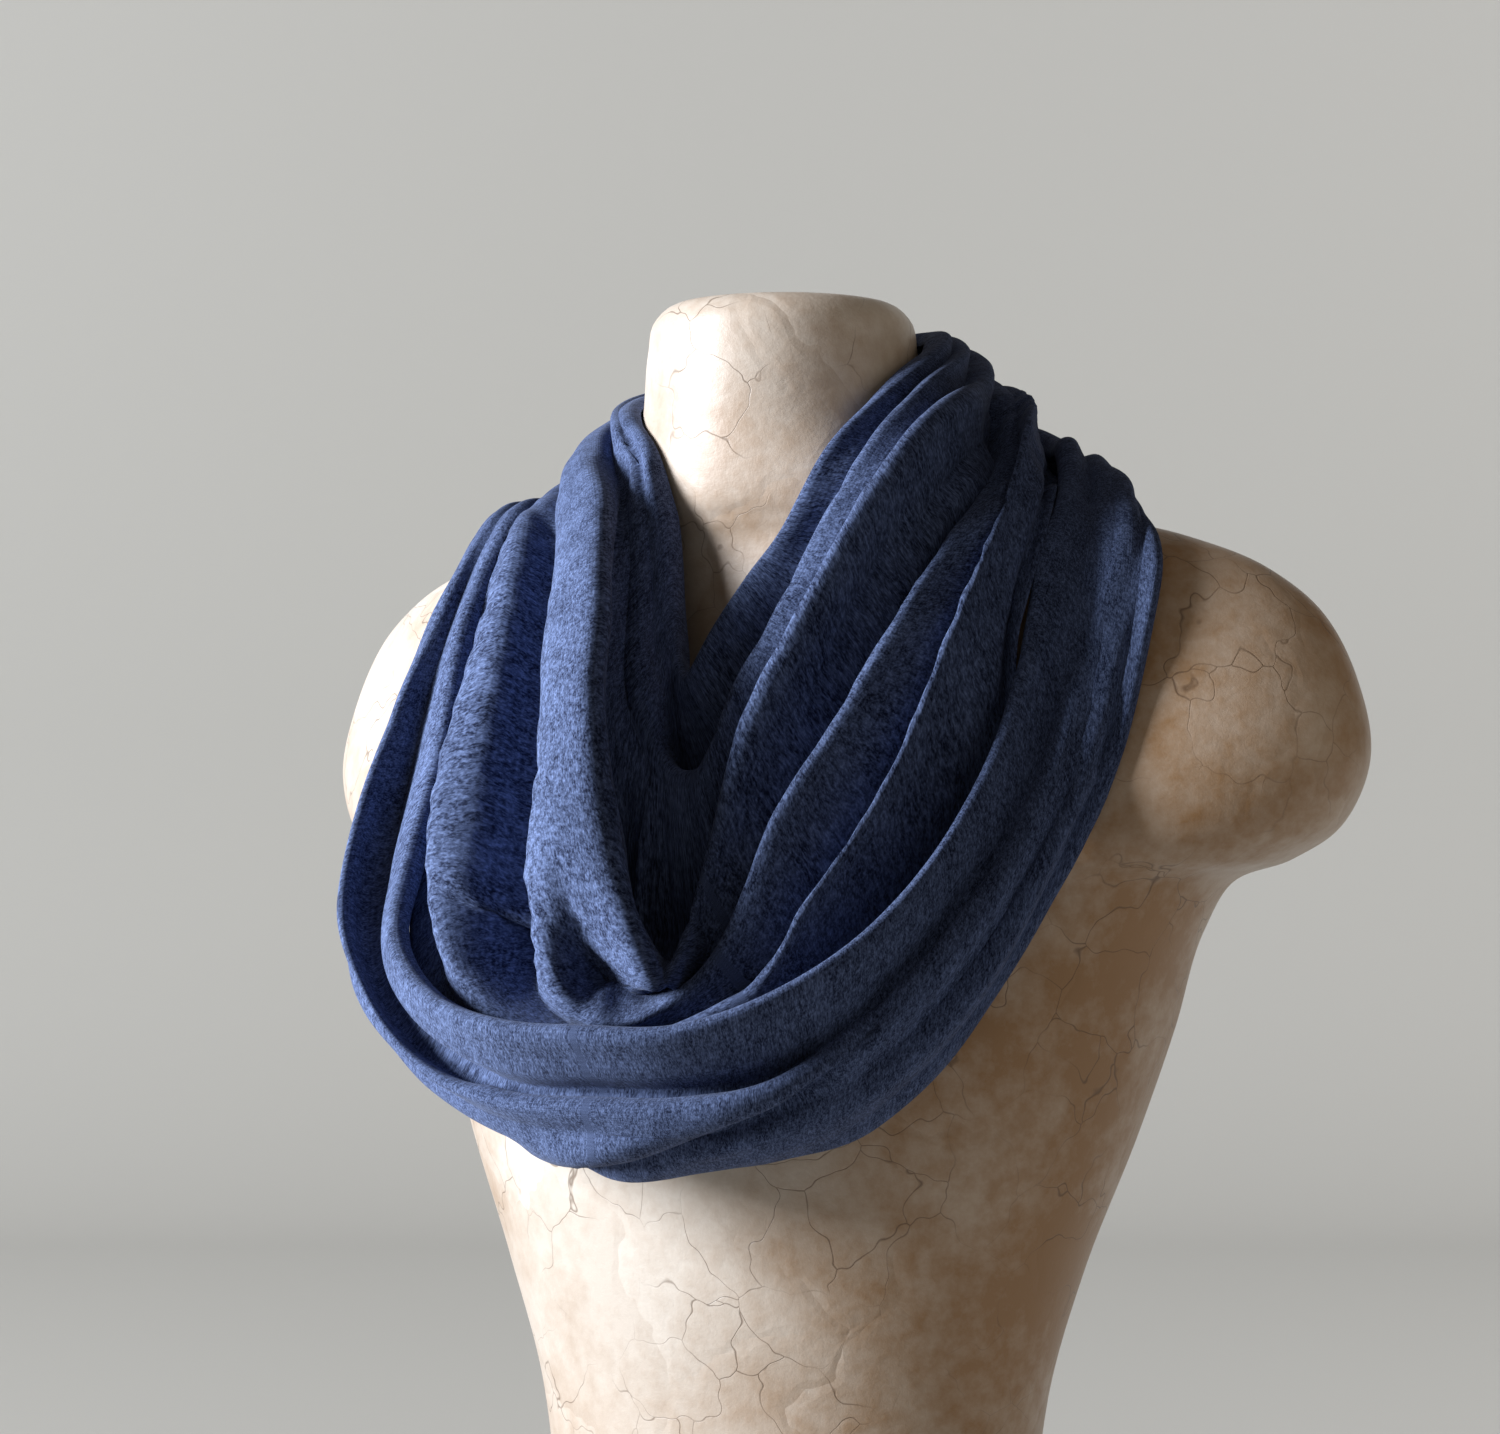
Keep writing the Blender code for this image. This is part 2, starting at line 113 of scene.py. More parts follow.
LOWER_WIND = (
    Lower("front", (8, 170, 382), (8, 161, 357), (8, 151, 341), (8, 132, 331)),
    Lower("front", (20, 171, 383), (20, 162, 358), (20, 151, 343), (20, 130, 335)),
    Lower("front", (32, 168, 396), (32, 161, 364), (32, 152, 348), (32, 130, 339)),
    Lower("right", (45, 159, 422), (45, 160, 388), (45, 151, 364), (46, 131, 350)),
    Lower("right", (60, 147, 469), (61, 158, 438), (61, 156, 410), (61, 141, 388)),
    Lower("right", (74, 133, 525), (76, 149, 503), (76, 159, 488), (76, 162, 470)),
    Lower("right", (84, 127, 561), (85, 140, 552), (85, 154, 549), (84, 166, 541)),
    Lower("right", (93, 120, 579), (95, 130, 575), (95, 139, 573), (94, 146, 566)),
    Lower("right", (106, 112, 595), (107, 120, 588), (107, 127, 582), (107, 133, 572)),
    Lower("back", (121, 108, 598), (121, 119, 591), (121, 128, 582), (121, 133, 567)),
    Lower("back", (150, 106, 608), (150, 120, 592), (151, 130, 564), (152, 131, 532)),
    Lower("back", (180, 106, 607), (180, 121, 588), (181, 130, 550), (182, 127, 506)),
    Lower("back", (212, 106, 602), (211, 119, 585), (210, 128, 560), (208, 130, 532)),
    Lower("left", (242, 107, 592), (241, 118, 587), (240, 128, 579), (240, 136, 566)),
    Lower("left", (262, 110, 583), (262, 122, 582), (262, 133, 582), (263, 142, 575)),
    Lower("left", (278, 117, 576), (278, 125, 573), (277, 132, 568), (276, 137, 560)),
    Lower("left", (291, 126, 533), (290, 140, 526), (287, 147, 519), (284, 154, 507)),
    Lower("left", (303, 131, 484), (301, 157, 470), (298, 164, 450), (294, 162, 428)),
    Lower("left", (314, 142, 446), (311, 166, 427), (309, 162, 402), (307, 148, 382)),
    Lower("left", (326, 156, 414), (325, 164, 393), (326, 152, 372), (326, 134, 356)),
    Lower("left", (342, 163, 391), (340, 161, 368), (341, 150, 356), (342, 131, 346)),
    Lower("front", (356, 168, 383), (354, 161, 358), (355, 150, 346), (355, 131, 337)),
)

# The valley between two crests, one row for each gap: its place from the first crest to
# the next as a share, and its depth as a share of the distance, on each side of the neck.
Valley = namedtuple("Valley", "back right front left")
UPPER_VALLEYS = (
    Valley((0.55, 0.60), (0.96, 0.90), (0.80, 0.60), (0.50, 0.10)),
    Valley((0.55, 0.60), (1.02, 0.80), (0.80, 0.55), (0.84, 0.60)),
    Valley((0.55, 0.60), (0.98, 0.70), (0.78, 0.55), (0.55, -0.14)),
    Valley((0.55, 0.46), (0.98, 0.70), (0.78, 0.55), (0.50, 0.90)),
    Valley((0.50, 0.10), (0.62, 0.34), (0.50, 0.12), (0.50, 0.30)),
)
LOWER_VALLEYS = (
    Valley((0.50, 0.40), (0.66, 0.24), (0.86, 0.46), (0.74, 0.50)),
    Valley((0.55, 0.38), (0.55, 0.14), (0.50, 0.06), (0.60, 0.20)),
    Valley((0.45, 0.28), (0.45, 0.06), (0.50, -0.06), (0.50, 0.06)),
)

# Folds too fine for the solids. Each runs from one azimuth to another, strongest at a
# share of its way, across from one place to another counted in crests, and it stands or
# sinks by a height in millimetres.
Fold = namedtuple("Fold", "start end peak across_start across_end width height")
UPPER_FOLDS = (
    Fold(8, 110, 0.5, 0.35, 0.35, 5.0, 2.4),      # round backs of the right folds
    Fold(8, 115, 0.5, 1.32, 1.34, 5.5, 2.6),
    Fold(14, 118, 0.5, 2.08, 2.13, 5.0, 3.0),
    Fold(15, 84, 0.5, 2.17, 2.30, 2.8, -5.0),     # crease down the widest fold
    Fold(14, 118, 0.5, 2.30, 2.42, 5.0, 3.6),
    Fold(20, 122, 0.5, 3.28, 3.30, 6.5, 4.0),
    Fold(30, 125, 0.5, 4.30, 4.34, 7.0, 4.4),
    Fold(60, 130, 0.5, 4.80, 4.75, 3.5, -2.4),
    Fold(306, 366, 0.5, 1.00, 1.05, 9.0, -8.0),   # hollow inside the left ridge
    Fold(300, 372, 0.6, 2.02, 2.04, 9.0, 2.0),    # round back of the left ridge
    Fold(288, 360, 0.6, 3.84, 3.82, 8.0, 9.0),    # tube of the second left ridge
    Fold(286, 350, 0.5, 4.34, 4.30, 4.0, 3.2),    # thin ridge beyond it
    Fold(290, 350, 0.5, 4.17, 4.15, 2.4, -2.6),
    Fold(140, 215, 0.5, 1.50, 1.60, 3.0, -2.0),
    Fold(130, 240, 0.5, 2.45, 2.60, 4.0, 2.2),
    Fold(160, 262, 0.5, 3.60, 3.40, 4.0, 2.4),
    Fold(200, 300, 0.5, 4.50, 4.45, 5.0, -2.2),
)
LOWER_FOLDS = (
    Fold(-1, 46, 0.4, 3.00, 0.75, 5.0, -7.5),     # crease up the swag from its lowest point
    Fold(-8, 44, 0.4, 2.55, 0.45, 7.0, 4.0),
    Fold(-75, 60, 0.5, 0.28, 0.28, 5.0, 2.4),     # roll of the band and the line below it
    Fold(-80, 70, 0.5, 0.62, 0.62, 2.6, -4.0),
    Fold(-62, -8, 0.5, 0.74, 0.70, 5.5, -8.0),    # dark hollow under the band at the left
    Fold(60, 120, 0.5, 1.50, 1.40, 7.0, 3.2),     # soft ridge down the right side
    Fold(255, 318, 0.5, 0.45, 0.60, 4.0, 2.6),
    Fold(262, 330, 0.5, 1.40, 1.60, 5.0, 2.2),
    Fold(140, 240, 0.5, 0.55, 1.30, 6.0, 2.6),
    Fold(120, 215, 0.5, 1.50, 2.30, 7.0, 3.0),
    Fold(165, 262, 0.5, 2.40, 1.40, 7.0, 2.6),
)

# How the cloth turns under at its first and last crests, in millimetres: out past the
# crest and in towards the form at the bend, then back and in at the hidden edge.
Turn = namedtuple("Turn", "bend_out bend_in edge_back edge_in")
NECKLINE_TURN = Turn(2, 4, 2, 12)
BAND_TURN = Turn(3, 3, -2, 9)
HEM_TURN = Turn(1, 6, 2, 18)
WAY_ROUNDS = 12           # rounds that even out the way in from one section to the next
TUCK_NEAR = 5             # the upper wind's hidden edge stops this short of the band
                          # where the form is near, in millimetres
TUCK_FAR = 0.45           # and where it is far, this share of the way to the swag
TUCK_DEEP = 15            # most depth of that edge behind the band, in millimetres
TUCK_ROOM = 6             # room above the form that it needs first, in millimetres
VALLEY_ROOM = 0.8         # most of the room above the form that a valley takes up
CLOTH_LEAN = 0.5          # how far valleys sink square to the cloth, not to the form
CLOTH_CLEAR = 1.9 * MM    # from the form to the middle of the cloth on it
CREST_ROUND = 1.25        # how full the curve is over a crest
VALLEY_SHARP = 0.45       # and how full it is in a valley: less than 1 is sharp
ROW_GAP = 8               # way from one row of a table to the next, besides its degrees
CLEAR_ROUNDS = 6          # times that the cloth is pushed clear of the form
CLEAR_STEP = 4 * MM       # the most at a time
SLOPE_STEP = 0.5 * MM     # between the points that give the way out of the form

# Wrinkles too small to place one by one. They are drawn from a seed for each wind.
UPPER_SEED = 17
LOWER_SEED = 11
WRINKLE_COUNT = 16
WRINKLE_HEIGHT = 0.55 * MM
WRINKLE_WIDTHS = (5, 16)  # narrowest and widest, in millimetres
WRINKLE_SWAYS = (0.3, 1.4)  # least and most swing to the sides
WRINKLE_STACK = 4         # wrinkles that reach that height where they stack up
SWELLS = 6                # most times that a wrinkle swells on its way round the neck
SWAYS = 3                 # and most times that it swings
ANY_PHASE = 7             # the draws for a phase go from 0 to a little over a full turn
FOLD_FADE = 0.7           # how soon a fine fold fades out at its ends: less is later
EDGE_FADE = 6 * MM        # strip along each edge where folds and wrinkles fade out
EDGE_ROUND = 0.25         # thickness at the very edge, as a share of the wall


def curve(places, values, wanted, period=None, fullness=None):
    """Smooth curve through values at places, read where wanted. It closes on a period."""
    places = np.asarray(places, float)
    values = np.asarray(values, float)
    if period:
        places = np.concatenate((places[-2:] - period, places, places[:3] + period))
        values = np.concatenate((values[-2:], values, values[:3]))
    spans = np.diff(places)
    shape = (-1,) + (1,) * (values.ndim - 1)
    slopes = np.diff(values, axis=0) / spans.reshape(shape)
    before = np.concatenate((slopes[:1], slopes))
    after = np.concatenate((slopes, slopes[-1:]))
    left = np.concatenate((spans[:1], spans)).reshape(shape)
    right = np.concatenate((spans, spans[-1:])).reshape(shape)
    tangents = (before * right + after * left) / (left + right)
    if fullness is not None:
        tangents *= np.reshape(fullness, shape)
    wanted = np.asarray(wanted, float)
    first = np.clip(np.searchsorted(places, wanted, side="right") - 1, 0, len(spans) - 1)
    length = spans[first].reshape(shape)
    share = ((wanted - places[first]) / spans[first]).reshape(shape)
    rise = share * share * (3 - 2 * share)
    lead = share * (1 - share) ** 2 * length
    trail = share * share * (share - 1) * length
    ends = values[first] * (1 - rise) + values[first + 1] * rise
    return ends + lead * tangents[first] + trail * tangents[first + 1]


def form_size(heights):
    """Half width, half depth, centre and power of the dress form at these heights."""
    table = np.array(FORM, float)
    table[:, :4] *= MM
    return curve(table[:, 0], table[:, 1:], np.clip(heights, 0, table[-1, 0]))


def form_depth(points):
    """How far outside the dress form each point lies, roughly, and the way out."""
    def level(at):
        width, depth, centre, power = form_size(at[:, 2]).T
        across = np.abs(at[:, 0]) / width
        along = np.abs(at[:, 1] - centre) / depth
        return (across ** power + along ** power) ** (1 / power) - 1

    here = level(points)
    gradient = np.zeros_like(points)
    for axis in range(3):
        shift = np.zeros(3)
        shift[axis] = SLOPE_STEP
        gradient[:, axis] = (level(points + shift) - level(points - shift)) / (2 * SLOPE_STEP)
    steepness = np.maximum(np.linalg.norm(gradient, axis=1), 1e-6)
    return here / steepness, gradient / steepness[:, None]


def clear_of_form(points, margin):
    """The points, with those nearer to the form than the margin pushed out to it."""
    flat = points.reshape(-1, 3).copy()
    for _ in range(CLEAR_ROUNDS):
        distance, way_out = form_depth(flat)
        short = np.clip(margin - distance, 0, CLEAR_STEP)
        flat += way_out * short[:, None]
    return flat.reshape(points.shape)


def place(azimuth, reach, height):
    """Point in metres from an azimuth in degrees and two distances in millimetres."""
    turn = np.radians(azimuth)
    return np.stack((reach * np.sin(turn), -reach * np.cos(turn), height), axis=-1) * MM


def closed_table(rows, folds):
    """Azimuth, reach and height of each fold at evenly placed sections round the wind."""
    table = np.array([[getattr(row, fold) for fold in folds] for row in rows], float)
    middle = table[:, :, 0].mean(axis=1)
    swing = table.copy()
    swing[:, :, 0] -= middle[:, None]
    travel = np.concatenate(([0], np.cumsum(np.diff(middle) + ROW_GAP)))
    period = travel[-1] + middle[0] + 360 - middle[-1] + ROW_GAP
    wanted = np.arange(SECTIONS) * period / SECTIONS
    values = np.concatenate((swing.reshape(len(rows), -1), middle[:, None]), axis=1)
    lap = values[:3].copy()
    lap[:, -1] += 360
    before = values[-2:].copy()
    before[:, -1] -= 360
    places = np.concatenate((travel[-2:] - period, travel, travel[:3] + period))
    values = np.concatenate((before, values, lap))
    found = curve(places, values, wanted)
    folds_found = found[:, :-1].reshape(SECTIONS, len(folds), 3)
    folds_found[:, :, 0] += found[:, -1:]
    return folds_found, travel, period, wanted


def valley_shares(rows, valleys, travel, period, wanted):
    """Place and depth of each valley at each section."""
    table = np.array([[getattr(valley, row.side) for valley in valleys] for row in rows])
    return curve(travel, table, wanted, period)


def square_to(line, steps):
    """The part of some steps that lies square to the line they start from."""
    along = np.roll(line, -1, axis=0) - np.roll(line, 1, axis=0)
    along /= np.linalg.norm(along, axis=1, keepdims=True)
    return steps - along * (along * steps).sum(axis=1, keepdims=True)


def turned(crest, neighbour, turn):
    """The bend and the hidden edge beyond a crest, drawn up where the form is near."""
    distance, way_out = form_depth(crest)
    room = (distance - CLOTH_CLEAR) / (turn.edge_in * MM)
    share = np.clip(room, 0, 1)[:, None]
    back = square_to(crest, neighbour - crest)
    back /= np.linalg.norm(back, axis=1, keepdims=True)
    for _ in range(WAY_ROUNDS):
        way_out = way_out + np.roll(way_out, -1, axis=0) + np.roll(way_out, 1, axis=0)
    way_out /= np.linalg.norm(way_out, axis=1, keepdims=True)
    beyond = -2 * turn.bend_out * (1 - share) + turn.edge_back * share
    bend = crest - (turn.bend_out * back + share * turn.bend_in * way_out) * MM
    edge = crest + (beyond * back - share * turn.edge_in * way_out) * MM
    return bend, edge


def lower_crest(azimuths, fold):
    """Points of one crest of the lower wind at these azimuths."""
    table = np.array([getattr(row, fold) for row in LOWER_WIND], float)
    found = (azimuths - table[0, 0]) % 360 + table[0, 0]
    reach, height = curve(table[:, 0], table[:, 1:], found, 360).T
    return place(azimuths, reach, height)


def behind_band(azimuths):
    """Hidden edge of the upper wind, behind the band of the lower wind."""
    band = lower_crest(azimuths, "band")
    swag = lower_crest(azimuths, "swag")
    distance, way_out = form_depth(band)
    room = (distance - CLOTH_CLEAR - TUCK_ROOM * MM) / (TUCK_DEEP * MM)
    share = np.clip(room, 0, 1)[:, None]
    onward = square_to(band, swag - band)
    spread = np.linalg.norm(onward, axis=1, keepdims=True)
    along = TUCK_FAR * share ** 2 - TUCK_NEAR * MM / spread * (1 - share ** 2)
    return band + onward * along - way_out * share * TUCK_DEEP * MM


def wind_surface(rows, valleys, fine_folds, seed, first_turn, last_turn=None):
    """Middle surface of one wind: sections round the neck by points across the cloth.

    Without a last turn, its last edge is tucked behind the band of the lower wind.
    """
    folds = rows[0]._fields[1:]
    crests, travel, period, wanted = closed_table(rows, folds)
    shares = valley_shares(rows, valleys, travel, period, wanted)
    points = place(crests[..., 0], crests[..., 1], crests[..., 2])
    if last_turn is None:
        hidden = behind_band(crests[:, -1, 0])
        points = np.concatenate((points, hidden[:, None]), axis=1)
    first_bend, first_edge = turned(points[:, 0], points[:, 1], first_turn)
    controls = [first_edge, first_bend, points[:, 0]]
    fullness = [1, 1, CREST_ROUND]
    for gap in range(len(valleys)):
        start = points[:, gap]
        across = points[:, gap + 1] - start
        distance = np.linalg.norm(across, axis=1, keepdims=True)
        along = np.roll(start, -1, axis=0) - np.roll(start, 1, axis=0)
        outward = np.cross(across, along)
        outward *= CLOTH_LEAN / np.linalg.norm(outward, axis=1, keepdims=True)
        share = shares[:, gap]
        line = start + across * share[:, :1]
        clearance, way_out = form_depth(line)
        outward += way_out
        outward /= np.linalg.norm(outward, axis=1, keepdims=True)
        room = np.clip(clearance - CLOTH_CLEAR, 0, None) * VALLEY_ROOM
        low = line - outward * np.minimum(distance[:, 0] * share[:, 1], room)[:, None]
        controls += [low, points[:, gap + 1]]
        fullness += [VALLEY_SHARP, CREST_ROUND]
    if last_turn is not None:
        controls += turned(points[:, -1], points[:, -2], last_turn)
        fullness += [1, 1]
    sections = np.stack(controls, axis=1)
    surface = np.stack([across_curve(section, fullness) for section in sections])
    surface = folded(surface, crests[:, :, 0].mean(axis=1), fine_folds, seed)
    return clear_of_form(surface, CLOTH_CLEAR)


def across_curve(section, fullness):
    """Smooth curve across the cloth through its crests and valleys."""
    chords = np.linalg.norm(np.diff(section, axis=0), axis=1) ** 0.5
    places = np.concatenate(([0], np.cumsum(chords)))
    wanted = []
    for start, end in zip(places, places[1:]):
        wanted += list(np.linspace(start, end, STEPS, endpoint=False))
    wanted.append(places[-1])
    return curve(places, section, wanted, fullness=fullness)


def surface_normals(surface):
    """Outward normals of a surface that closes round the neck."""
    along = np.roll(surface, -1, axis=0) - np.roll(surface, 1, axis=0)
    across = np.empty_like(surface)
    across[:, 1:-1] = surface[:, 2:] - surface[:, :-2]
    across[:, 0] = surface[:, 1] - surface[:, 0]
    across[:, -1] = surface[:, -1] - surface[:, -2]
    normals = np.cross(across, along)
    return normals / np.maximum(np.linalg.norm(normals, axis=2, keepdims=True), 1e-9)


def arc_lengths(surface):
    """Distance across the cloth from its first edge to each point."""
    steps = np.linalg.norm(np.diff(surface, axis=1), axis=2)
    return np.concatenate((np.zeros((len(surface), 1)), np.cumsum(steps, axis=1)), axis=1)


def wrinkles(arcs, seed):
    """Small uneven wrinkles that run round the neck with the folds."""
    draw = np.random.default_rng(seed)
    turns = np.arange(len(arcs))[:, None] * 2 * math.pi / len(arcs)
    total = np.zeros_like(arcs)
    for _ in range(WRINKLE_COUNT):
        width = draw.uniform(*WRINKLE_WIDTHS) * MM
        swells = draw.integers(1, SWELLS + 1)
        swing = draw.uniform(*WRINKLE_SWAYS)
        sways = draw.integers(1, SWAYS + 1)
        sway = swing * np.sin(turns * sways + draw.uniform(0, ANY_PHASE))
        swell = 0.5 + 0.5 * np.sin(turns * swells + draw.uniform(0, ANY_PHASE))
        phase = sway * 2 + draw.uniform(0, ANY_PHASE)
        total += swell * np.sin(arcs * math.pi / width + phase)
    return total / WRINKLE_STACK


def folded(surface, azimuths, fine_folds, seed):
    """The surface with its finer folds and wrinkles raised along the normals."""
    arcs = arc_lengths(surface)
    normals = surface_normals(surface)
    raised = wrinkles(arcs, seed) * WRINKLE_HEIGHT
    places = np.arange(surface.shape[1]) / (2 * STEPS) - 1
    for fold in fine_folds:
        way = (azimuths - fold.start) % 360 / (fold.end - fold.start)
        share = np.clip(way, 0, 1)
        skewed = share ** (math.log(0.5) / math.log(fold.peak))
        fade = np.sin(skewed * math.pi) ** FOLD_FADE * (way <= 1)
        across = fold.across_start + (fold.across_end - fold.across_start) * share
        centre = np.array([np.interp(at, places, arc) for at, arc in zip(across, arcs)])
        away = (arcs - centre[:, None]) / (fold.width * MM)
        raised += fade[:, None] * fold.height * MM * np.exp(-away ** 2)
    ends = np.minimum(arcs, arcs[:, -1:] - arcs) / EDGE_FADE
    return surface + normals * (raised * np.clip(ends, 0, 1))[..., None]


def add_mesh(name, points, faces, texture_places=None):
    """A smooth mesh object, with texture places in metres on the cloth."""
    mesh = bpy.data.meshes.new(name)
    mesh.from_pydata(points, [], faces)
    mesh.validate()
    mesh.shade_smooth()
    if texture_places is not None:
        layer = mesh.uv_layers.new(name="cloth")
        loops = np.empty(len(mesh.loops), int)
        mesh.loops.foreach_get("vertex_index", loops)
        layer.data.foreach_set("uv", np.asarray(texture_places)[loops].ravel())
    item = bpy.data.objects.new(name, mesh)
    bpy.context.scene.collection.objects.link(item)
    return item


def add_cloth(name, surface, material):
    """A closed shell of cloth on both sides of a middle surface, with rounded edges."""
    normals = surface_normals(surface)
    from_edge = np.arange(surface.shape[1])
    from_edge = np.minimum(from_edge, from_edge[::-1])
    half = (WALL / 2 * np.clip(from_edge / 2, EDGE_ROUND, 1))[None, :, None]
    outside = surface + normals * half
    inside = surface - normals * half
    loops = np.concatenate((outside, inside[:, ::-1]), axis=1)
    rounds, per = loops.shape[:2]
    points = loops.reshape(-1, 3)
    faces = []
    for row in range(rounds):
        following = (row + 1) % rounds
        for index in range(per):
            after = (index + 1) % per
            faces.append((row * per + after, row * per + index,
                          following * per + index, following * per + after))
    arcs = arc_lengths(surface).mean(axis=0)
    steps = np.linalg.norm(np.roll(surface, -1, axis=0) - surface, axis=2)
    length = steps.sum(axis=0).mean()
    across = np.concatenate((arcs, arcs[::-1]))
    round_neck = np.arange(rounds) * length / rounds
    places = np.stack(np.broadcast_arrays(round_neck[:, None], across[None, :]), axis=-1)
    item = add_mesh(name, points.tolist(), faces, places.reshape(-1, 2))
    item.data.materials.append(material)
    return item


def add_form(material):
    """The dress form, smooth, with its paper slightly uneven."""
    table = np.array(FORM, float)
    table[:, :4] *= MM
    steps = np.linalg.norm(np.diff(table[:, :2], axis=0), axis=1)
    places = np.concatenate(([0], np.cumsum(steps)))
    wanted = np.linspace(0, places[-1], int(places[-1] / FORM_STEP))
    turns = np.arange(FORM_SIDES) * 2 * math.pi / FORM_SIDES
    loops = []
    for height, width, depth, centre, power in curve(places, table, wanted):
        bulge = (np.abs(np.sin(turns)) ** power + np.abs(np.cos(turns)) ** power) ** (1 / power)
        x = width * np.sin(turns) / bulge
        y = centre - depth * np.cos(turns) / bulge
        loops.append(np.stack((x, y, np.full_like(x, height)), axis=1))
    loops = np.stack(loops)
    rounds, per = loops.shape[:2]
    faces = []
    for row in range(rounds - 1):
        for index in range(per):
            after = (index + 1) % per
            faces.append((row * per + index, row * per + after,
                          (row + 1) * per + after, (row + 1) * per + index))
    faces.append(tuple(reversed(range(per))))
    faces.append(tuple((rounds - 1) * per + index for index in range(per)))
    item = add_mesh("form_skin", loops.reshape(-1, 3).tolist(), faces)
    item.data.materials.append(material)
    return item


class Nodes:
    """Short way to add and join the nodes of a material."""

    def __init__(self, name):
        self.material = bpy.data.materials.new(name)
        self.material.use_nodes = True
        self.tree = self.material.node_tree
        self.shader = self.tree.nodes["Principled BSDF"]

    def add(self, kind, settings=None, **inputs):
        """Adds a node. Inputs are values or sockets, by name with _ for a space."""
        node = self.tree.nodes.new(kind)
        for key, value in (settings or {}).items():
            setattr(node, key, value)
        for key, value in inputs.items():
            self.put(node, key.replace("_", " "), value)
        return node

    def put(self, node, key, value):
        """Gives an input of a node a value or a link."""
        socket = node.inputs[int(key)] if key.isdigit() else node.inputs[key]
        if isinstance(value, bpy.types.NodeSocket):
            self.tree.links.new(value, socket)
        else:
            socket.default_value = value

    def math(self, operation, first, second=0.0):
        """An operation on one or two values."""
        node = self.tree.nodes.new("ShaderNodeMath")
        node.operation = operation
        self.put(node, "0", first)
        self.put(node, "1", second)
        return node.outputs[0]

    def plus(self, first, second):
        """Sum of two values."""
        return self.math("ADD", first, second)

    def times(self, value, share):
        """Product of two values."""
        return self.math("MULTIPLY", value, share)

    def ramp(self, value, low, high):
        """A value spread from 0 to 1 between two limits."""
        node = self.add("ShaderNodeMapRange", Value=value)
        self.put(node, "From Min", low)
        self.put(node, "From Max", high)
        return node.outputs[0]

    def mix(self, share, first, second):
        """A colour between two others."""
        node = self.tree.nodes.new("ShaderNodeMix")
        node.data_type = "RGBA"
        self.put(node, "0", share)
        self.put(node, "6", first)
        self.put(node, "7", second)
        return node.outputs[2]

    def noise(self, at, scale, detail, roughness):
        """Smooth noise from 0 to 1."""
        node = self.add("ShaderNodeTexNoise", Vector=at, Scale=scale, Detail=detail)
        self.put(node, "Roughness", roughness)
        return node.outputs[0]

    def stretched(self, at, scale):
        """A place with its axes scaled."""
        node = self.add("ShaderNodeMapping", Vector=at)
        self.put(node, "Scale", scale)
        return node.outputs[0]

    def cell_edges(self, at, scale):
        """Distance from the edges of random cells."""
        node = self.add("ShaderNodeTexVoronoi", {"feature": "DISTANCE_TO_EDGE"},
                        Vector=at, Scale=scale)
        return node.outputs[0]

    def finish(self, shader_values, relief, strength, depth):
        """Sets the shader's plain values and joins the relief to it."""
        for key, value in shader_values.items():
            self.put(self.shader, key, value)
        bump = self.add("ShaderNodeBump", Height=relief, Strength=strength, Distance=depth)
        self.put(self.shader, "Normal", bump.outputs[0])


# The jersey. Each grain is a noise with its scale along and across the cloth in cycles for
# a metre. Those of the heather show between a low and a high value and add up by shares.
Grain = namedtuple("Grain", "along across detail roughness low high share",
                   defaults=(0, 1, 1))
HEATHER = (
    Grain(900, 430, 3.0, 0.60, 0.42, 0.69, 0.46),      # streaks across the fold
    Grain(2200, 1400, 2.0, 0.60, 0.44, 0.73, 0.50),    # flecks of pale fibre
    Grain(130, 48, 3.0, 0.55, 0.38, 0.66, 0.17),       # clouds
)
NAP = Grain(900, 700, 3.0, 0.60)
DARK_YARN = (0.004, 0.008, 0.030, 1)
PALE_YARN = (0.172, 0.236, 0.455, 1)
RIB = 1.25 * MM           # width of a rib of stitches
STITCH = 0.95 * MM        # length of a stitch
STITCH_SLANT = 0.9        # how far stitches lean over the rib
RIB_SHARE = 0.6           # the rib's share of the knit, against 0.4 for the stitch
KNIT_SHADE = 0.05         # how much the knit shows in the colour
KNIT_RELIEF = 0.35        # and in the relief, against 1 for the nap
JERSEY_DEPTH = 0.25 * MM
JERSEY_BUMP = 0.22
JERSEY_SHADER = {"Roughness": 0.92, "Specular IOR Level": 0.15, "Sheen Weight": 0.10,
                 "Sheen Roughness": 0.45, "Sheen Tint": (0.55, 0.65, 1.0, 1)}

# The paper of the form. Scales are in cycles for a metre.
CREAM = (0.75, 0.70, 0.63, 1)
BROWN = (0.32, 0.18, 0.08, 1)
PASTE = (0.30, 0.18, 0.09, 1)   # tint of the pasted patches, more on some than on others
DIRT = (0.11, 0.06, 0.03, 1)    # in the cracks
PATCH_SCALE = 13.0
CRACK_SCALE = 34.0
BEND_SCALE = 22.0               # crooked edges of the patches and cracks
BEND_DETAIL = 3.0
BEND = 0.06
# Scale, detail and roughness of each noise. The gaps are the places without cracks.
STAIN_NOISE = (9.0, 5.0, 0.6)
SPECK_NOISE = (110.0, 5.0, 0.7)
GAP_NOISE = (17.0, 3.0, 0.5)
